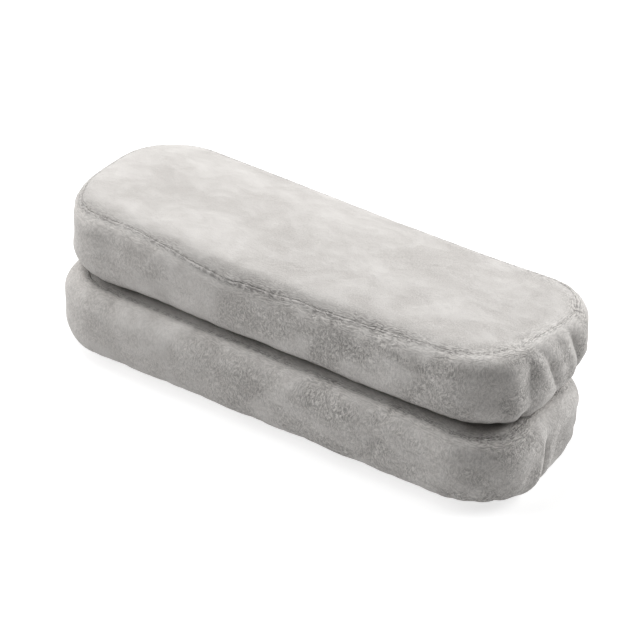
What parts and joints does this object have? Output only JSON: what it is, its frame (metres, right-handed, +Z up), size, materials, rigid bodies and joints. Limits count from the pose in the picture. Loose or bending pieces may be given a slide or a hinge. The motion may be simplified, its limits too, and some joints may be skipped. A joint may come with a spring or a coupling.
{
  "type": "chair armrest pad",
  "caption": "Pair of oblong slip-over armrest pads, stacked. Each is a foam slab in a sewn plush cover whose elastic hem turns under and grips the armrest.",
  "frame": {"origin": "centre of the lower pad's armrest seat, the lining's face that lies on the chair's armrest", "axes": "+X along the pads' length, +Y across them towards the side with the closing seams, +Z up, out of the pads' tops"},
  "size_m": [0.273, 0.101, 0.0747],
  "materials": {
    "plush": "matte",
    "lining": "matte",
    "foam": "matte",
    "thread": "satin",
    "elastic": "matte"
  },
  "bodies": {
    "lower_pad": {"lower_foam_core": "foam", "lower_lining_panel": "lining", "lower_lining_seam_thread": "thread", "lower_cover_side_band": "plush", "lower_closing_seam_thread": "thread", "lower_hem_elastic": "elastic", "lower_hem_seam_thread": "thread", "lower_top_seam_thread": "thread"},
    "lower_top": {"lower_cover_top_panel": "plush"},
    "upper_pad": {"upper_foam_core": "foam", "upper_lining_panel": "lining", "upper_lining_seam_thread": "thread", "upper_cover_side_band": "plush", "upper_closing_seam_thread": "thread", "upper_hem_elastic": "elastic", "upper_hem_seam_thread": "thread", "upper_top_seam_thread": "thread"},
    "upper_top": {"upper_cover_top_panel": "plush"}
  },
  "joints": [
    {"name": "lower_top_press", "type": "slide", "parent": "lower_pad", "child": "lower_top", "axis": [0, 0, -1], "range_m": [0, 0.012], "stiffness_N_per_m": 1800, "springref_m": -0.001, "deforming": ["lower_foam_core"]},
    {"name": "upper_pad_lift", "type": "slide", "parent": "lower_pad", "child": "upper_pad", "axis": [0, 0, 1], "range_m": [0, 0.12]},
    {"name": "upper_top_press", "type": "slide", "parent": "upper_pad", "child": "upper_top", "axis": [0, 0, -1], "range_m": [0, 0.012], "stiffness_N_per_m": 1800, "springref_m": -0.001, "deforming": ["upper_foam_core"]}
  ]
}
